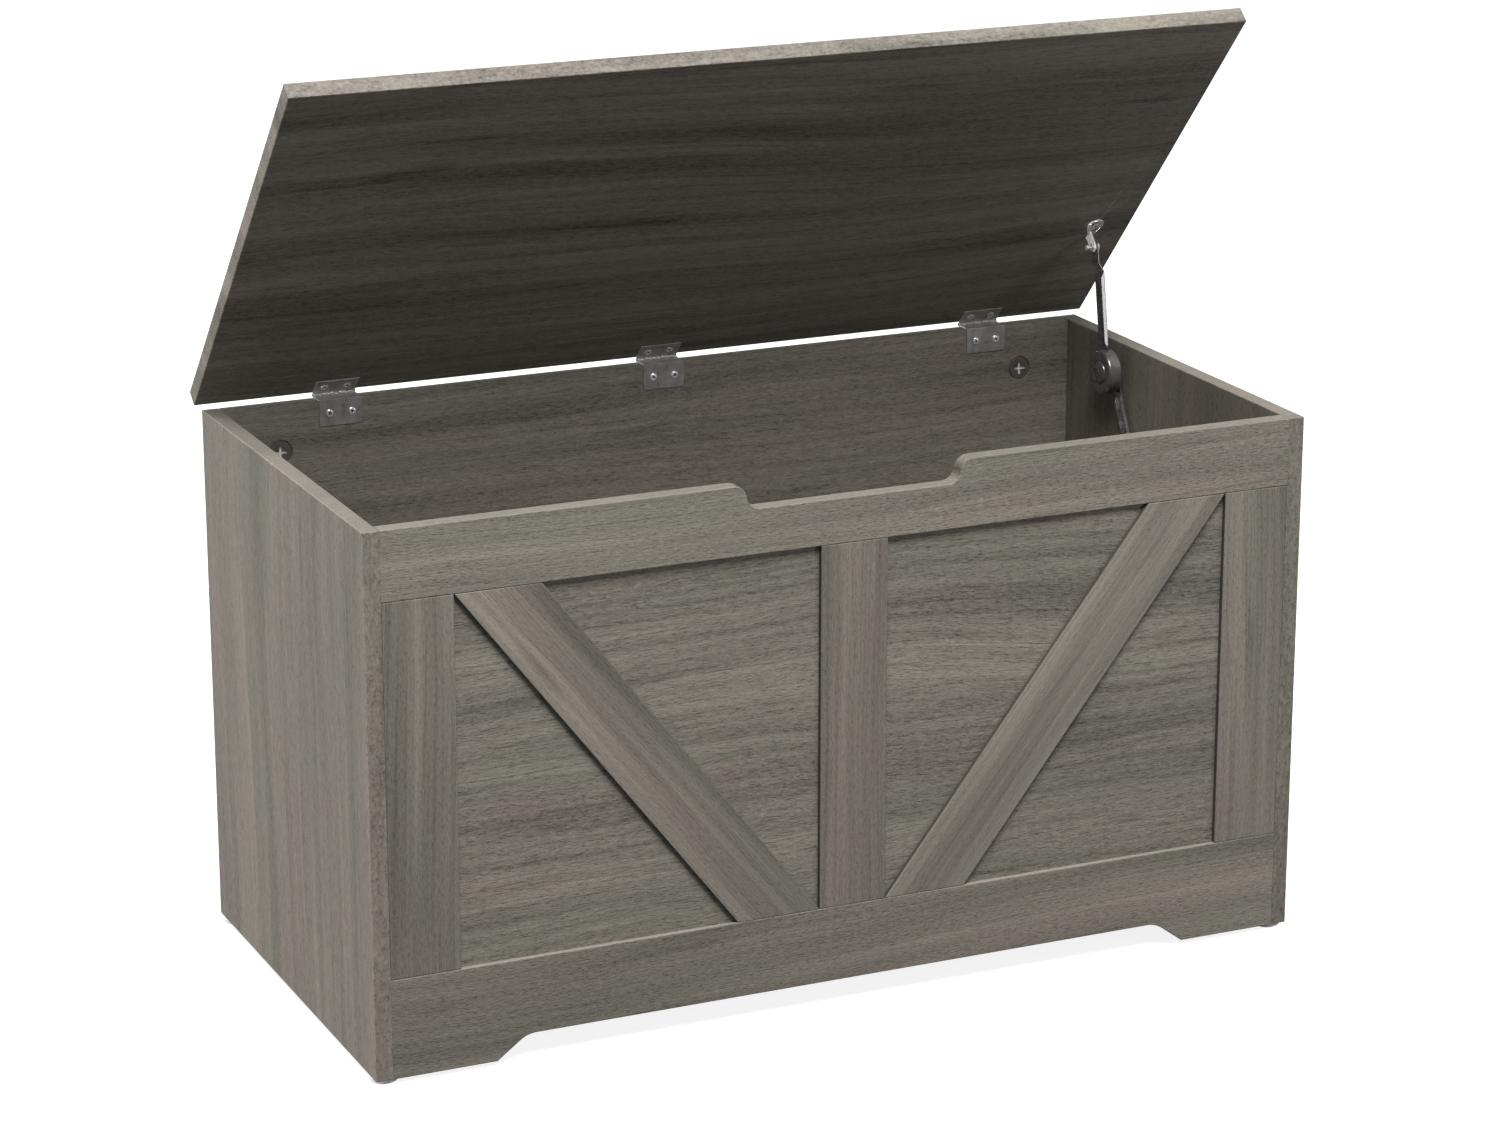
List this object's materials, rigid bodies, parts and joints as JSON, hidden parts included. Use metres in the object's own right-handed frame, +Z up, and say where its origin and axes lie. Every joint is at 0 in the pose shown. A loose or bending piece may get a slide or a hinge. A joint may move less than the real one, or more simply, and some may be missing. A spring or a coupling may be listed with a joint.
{
  "type": "toy box",
  "caption": "Wooden toy chest with diagonal braces on its front, a hand notch, a plinth cut-out and an overhanging hinged lid held open by a folding stay.",
  "frame": {"origin": "on the floor under the middle of the box that holds the toy box with its lid open on the stay", "axes": "+X to the right along the front, +Y towards the back, +Z up; the front faces -Y"},
  "size_m": [0.883, 0.4328, 0.8151],
  "materials": {
    "grey_oak_laminate": "matt grey-brown oak laminate with fine pores",
    "beech": "bare turned beech",
    "hinge_steel": "satin nickel plated sheet",
    "stay_steel": "pressed sheet, bright at the edges",
    "bright_steel": "bright zinc",
    "dark_zinc": "dark die-cast zinc",
    "graphite_hub": "satin graphite moulding",
    "friction_fibre": "pressed friction fibre",
    "white_glide": "smooth white polyethylene"
  },
  "bodies": {
    "chest": {"left_side_panel": "grey_oak_laminate", "right_side_panel": "grey_oak_laminate", "back_panel": "grey_oak_laminate", "base_panel": "grey_oak_laminate", "front_infill_panel": "grey_oak_laminate", "top_rail": "grey_oak_laminate", "bottom_rail": "grey_oak_laminate", "left_stile": "grey_oak_laminate", "centre_stile": "grey_oak_laminate", "right_stile": "grey_oak_laminate", "left_brace": "grey_oak_laminate", "right_brace": "grey_oak_laminate", "floor_glides": "white_glide", "glide_nails": "bright_steel", "cam_locks": "dark_zinc", "cam_bolts": "bright_steel", "wooden_dowels": "beech", "left_hinge_body_leaf": "hinge_steel", "middle_hinge_body_leaf": "hinge_steel", "right_hinge_body_leaf": "hinge_steel", "left_hinge_pin": "hinge_steel", "middle_hinge_pin": "hinge_steel", "right_hinge_pin": "hinge_steel", "hinge_body_screws": "bright_steel", "stay_side_bracket": "stay_steel", "stay_side_rivet": "bright_steel", "stay_side_screws": "bright_steel"},
    "lid": {"lid_panel": "grey_oak_laminate", "left_hinge_lid_leaf": "hinge_steel", "middle_hinge_lid_leaf": "hinge_steel", "right_hinge_lid_leaf": "hinge_steel", "hinge_lid_screws": "bright_steel", "stay_lid_bracket": "stay_steel", "stay_lid_pin": "bright_steel", "stay_lid_screw": "bright_steel"},
    "stay_upper_arm": {"stay_upper_arm": "stay_steel", "stay_hub_housing": "graphite_hub", "stay_hub_cap": "graphite_hub", "stay_hub_base": "graphite_hub", "stay_friction_disc": "friction_fibre", "stay_spring_washer": "bright_steel", "stay_hub_rivet": "bright_steel"},
    "stay_lower_arm": {"stay_lower_arm": "stay_steel", "stay_lower_rivet": "bright_steel"}
  },
  "joints": [
    {"name": "lid_hinge", "type": "hinge", "parent": "chest", "child": "lid", "pos_m": [0, 0.20537, 0.4795], "axis": [-1, 0, 0], "range_deg": [-48, 0]},
    {"name": "stay_lower_pivot", "type": "hinge", "parent": "chest", "child": "stay_lower_arm", "pos_m": [0.414, 0.03784, 0.34586], "axis": [1, 0, 0], "range_deg": [-48.83, 0]},
    {"name": "stay_lid_pivot", "type": "hinge", "parent": "lid", "child": "stay_upper_arm", "pos_m": [0.404, 0.10936, 0.56596], "axis": [1, 0, 0], "range_deg": [0, 0.83]}
  ],
  "couplings": [
    {"joint": "stay_lower_pivot", "follows": "lid_hinge", "ratio": 1.0172},
    {"joint": "stay_lid_pivot", "follows": "lid_hinge", "ratio": -0.017277}
  ]
}
